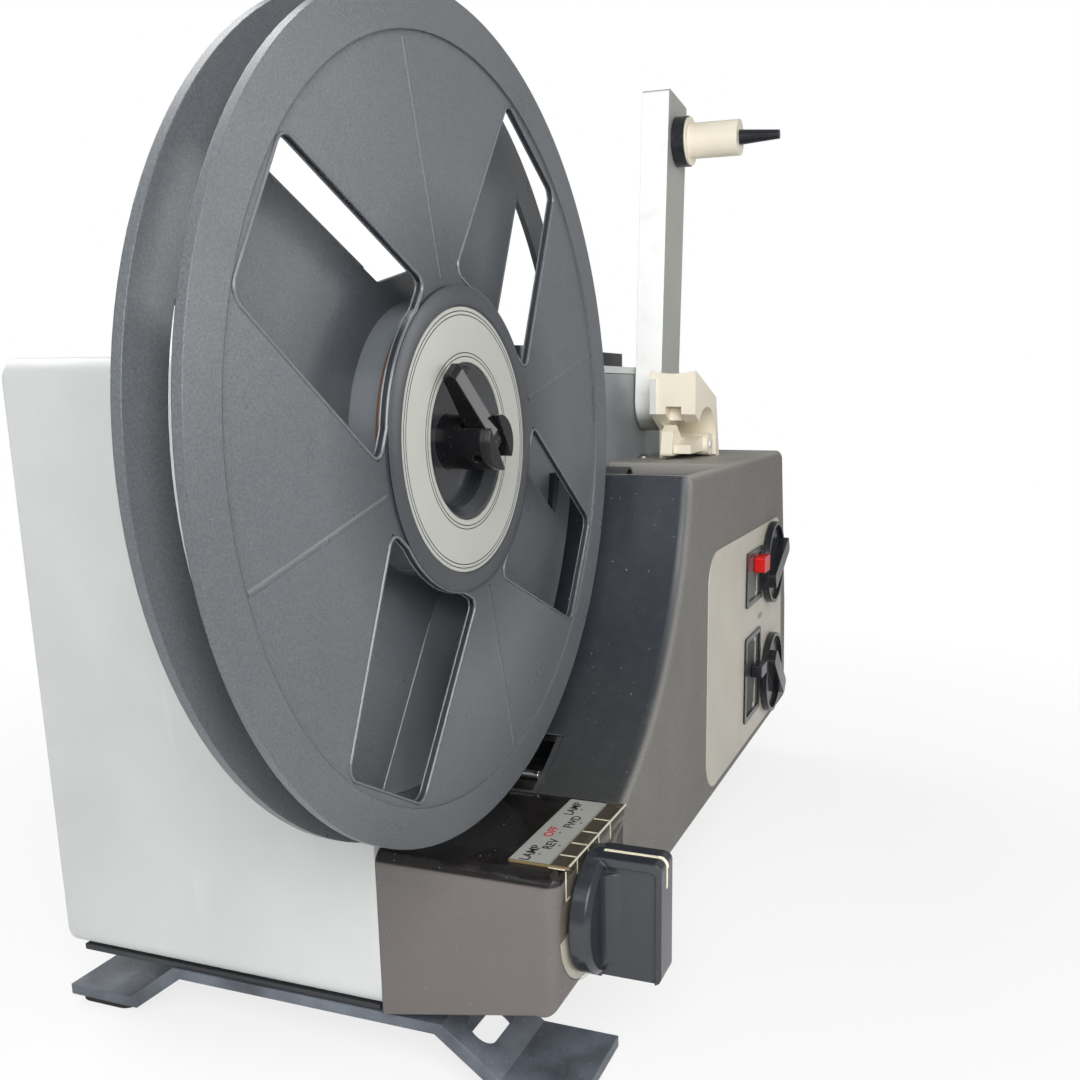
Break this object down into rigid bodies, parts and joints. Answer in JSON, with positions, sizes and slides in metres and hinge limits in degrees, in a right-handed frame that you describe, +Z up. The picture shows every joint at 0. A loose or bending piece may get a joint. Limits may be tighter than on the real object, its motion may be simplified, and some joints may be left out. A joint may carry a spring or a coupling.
{
  "type": "movie projector",
  "caption": "Silent small-gauge movie projector with a folding supply arm, take-up reel, automatic film inlet, mode knob and control panel.",
  "frame": {"origin": "middle of the footprint, on the table the feet stand on", "axes": "+X the way the lens looks, -Y towards the operator, +Z up"},
  "size_m": [0.374, 0.172, 0.2798],
  "materials": {
    "housing_grey": "satin light grey paint",
    "plate_blue_grey": "satin blue-grey paint",
    "dark_sheet": "semi-matt black paint",
    "cover_grey": "fine-grained dark grey moulding",
    "panel_beige": "satin beige plate",
    "black_plastic": "glossy black moulding",
    "red_plastic": "bright red moulding",
    "silver_plate": "brushed silver plate",
    "clear_plastic": "clear moulded plastic",
    "cream_plastic": "cream moulding",
    "bright_metal": "bright plated steel",
    "steel": "turned steel",
    "brass": "sintered bronze",
    "reel_plastic": "satin grey moulding with a fine grain",
    "arm_grey": "satin grey paint",
    "rubber": "matt rubber",
    "foot_grey": "scuffed dark paint",
    "glass": "coated optical glass",
    "motor_metal": "painted motor shell",
    "insulator": "moulded insulating plastic"
  },
  "bodies": {
    "projector_body": {"main_housing": "housing_grey", "mechanism_plate": "plate_blue_grey", "base_plate": "dark_sheet", "back_cover": "housing_grey", "operator_cover": "cover_grey", "control_panel": "panel_beige", "format_bezel": "black_plastic", "framing_bezel": "black_plastic", "speed_control": "insulator", "mode_switch": "insulator", "label_plate": "silver_plate", "index_cover": "clear_plastic", "inlet_guide": "cream_plastic", "inlet_strips": "bright_metal", "guide_hook": "bright_metal", "exit_guide": "black_plastic", "exit_pin": "bright_metal", "spindle_bearing": "brass", "arm_pivot": "steel", "handle_pins": "steel", "rear_foot": "foot_grey", "foot_pads": "rubber", "lens_holder": "dark_sheet", "film_gate": "bright_metal", "pressure_plate": "steel", "condenser_lens": "glass", "condenser_holder": "steel", "lamp": "glass", "lamp_holder": "insulator", "shaft_bearings": "brass", "motor": "motor_metal", "drive_belt": "rubber", "take_up_belt": "rubber", "transformer": "motor_metal", "mains_inlet": "black_plastic", "case_screws": "steel"},
    "take_up_reel": {"take_up_spindle": "black_plastic", "reel_front_flange": "reel_plastic", "reel_back_flange": "reel_plastic", "reel_core": "black_plastic", "reel_label": "silver_plate"},
    "reel_latch": {"spindle_latch": "black_plastic"},
    "supply_arm": {"supply_arm": "arm_grey"},
    "supply_spindle": {"spindle_collar": "black_plastic", "spindle_sleeve": "cream_plastic", "spindle_tip": "black_plastic"},
    "mode_knob": {"mode_knob": "black_plastic"},
    "format_slider": {"format_slider": "red_plastic"},
    "framing_slider": {"framing_slider": "black_plastic"},
    "focus_knob": {"focus_knob": "black_plastic"},
    "lens": {"lens_barrel": "black_plastic", "lens_glass": "glass"},
    "speed_knob": {"speed_knob": "black_plastic"},
    "inlet_shoe": {"inlet_shoe": "cream_plastic"},
    "carry_handle": {"carry_handle": "black_plastic"},
    "front_foot": {"front_foot": "black_plastic"},
    "motor_rotor": {"motor_rotor": "steel"},
    "shutter": {"shutter_disc": "dark_sheet", "shutter_shaft": "steel"},
    "sprocket": {"sprocket": "cream_plastic"}
  },
  "joints": [
    {"name": "take_up_spin", "type": "hinge", "parent": "projector_body", "child": "take_up_reel", "pos_m": [-0.098, -0.0365, 0.159], "axis": [0, 1, 0], "continuous": true},
    {"name": "latch_flip", "type": "hinge", "parent": "take_up_reel", "child": "reel_latch", "pos_m": [-0.098, -0.0475, 0.159], "axis": [0.8192, 0, 0.5736], "range_deg": [0, 90]},
    {"name": "arm_fold", "type": "hinge", "parent": "projector_body", "child": "supply_arm", "pos_m": [0.103, -0.024, 0.166], "axis": [0, 1, 0], "range_deg": [-94, 0]},
    {"name": "supply_spin", "type": "hinge", "parent": "supply_arm", "child": "supply_spindle", "pos_m": [0.1108, -0.033, 0.26299], "axis": [0, 1, 0], "continuous": true},
    {"name": "mode_turn", "type": "hinge", "parent": "projector_body", "child": "mode_knob", "pos_m": [-0.087, -0.068, 0.046], "axis": [0, 1, 0], "range_deg": [-60, 60]},
    {"name": "format_shift", "type": "slide", "parent": "projector_body", "child": "format_slider", "axis": [0, 0, -1], "range_m": [0, 0.009]},
    {"name": "framing_shift", "type": "slide", "parent": "projector_body", "child": "framing_slider", "axis": [0, 0, 1], "range_m": [-0.012, 0.009]},
    {"name": "focus_turn", "type": "hinge", "parent": "projector_body", "child": "focus_knob", "pos_m": [0.128, -0.068, 0.099], "axis": [0, 1, 0], "range_deg": [-45, 45]},
    {"name": "lens_slide", "type": "slide", "parent": "projector_body", "child": "lens", "axis": [1, 0, 0], "range_m": [-0.0045, 0.0045]},
    {"name": "speed_turn", "type": "hinge", "parent": "projector_body", "child": "speed_knob", "pos_m": [0.13, -0.068, 0.051], "axis": [0, 1, 0], "range_deg": [-135, 135]},
    {"name": "shoe_lift", "type": "hinge", "parent": "projector_body", "child": "inlet_shoe", "pos_m": [0.102, -0.039, 0.149], "axis": [0, 1, 0], "range_deg": [0, 5]},
    {"name": "handle_swing", "type": "hinge", "parent": "projector_body", "child": "carry_handle", "pos_m": [0.056, 0.033, 0.1815], "axis": [-1, 0, 0], "range_deg": [0, 100]},
    {"name": "foot_screw", "type": "slide", "parent": "projector_body", "child": "front_foot", "axis": [0, 0, -1], "range_m": [0, 0.014]},
    {"name": "motor_spin", "type": "hinge", "parent": "projector_body", "child": "motor_rotor", "pos_m": [-0.008, 0.037, 0.059], "axis": [1, 0, 0], "continuous": true},
    {"name": "shutter_spin", "type": "hinge", "parent": "projector_body", "child": "shutter", "pos_m": [0.082, -0.007, 0.109], "axis": [1, 0, 0], "continuous": true},
    {"name": "sprocket_spin", "type": "hinge", "parent": "projector_body", "child": "sprocket", "pos_m": [0.1147, -0.023, 0.077], "axis": [0, 1, 0], "continuous": true}
  ],
  "couplings": [
    {"joint": "lens_slide", "follows": "focus_turn", "m_per_rad": 0.005},
    {"joint": "shutter_spin", "follows": "motor_spin", "ratio": 0.66667},
    {"joint": "sprocket_spin", "follows": "motor_spin", "ratio": 0.022222}
  ]
}
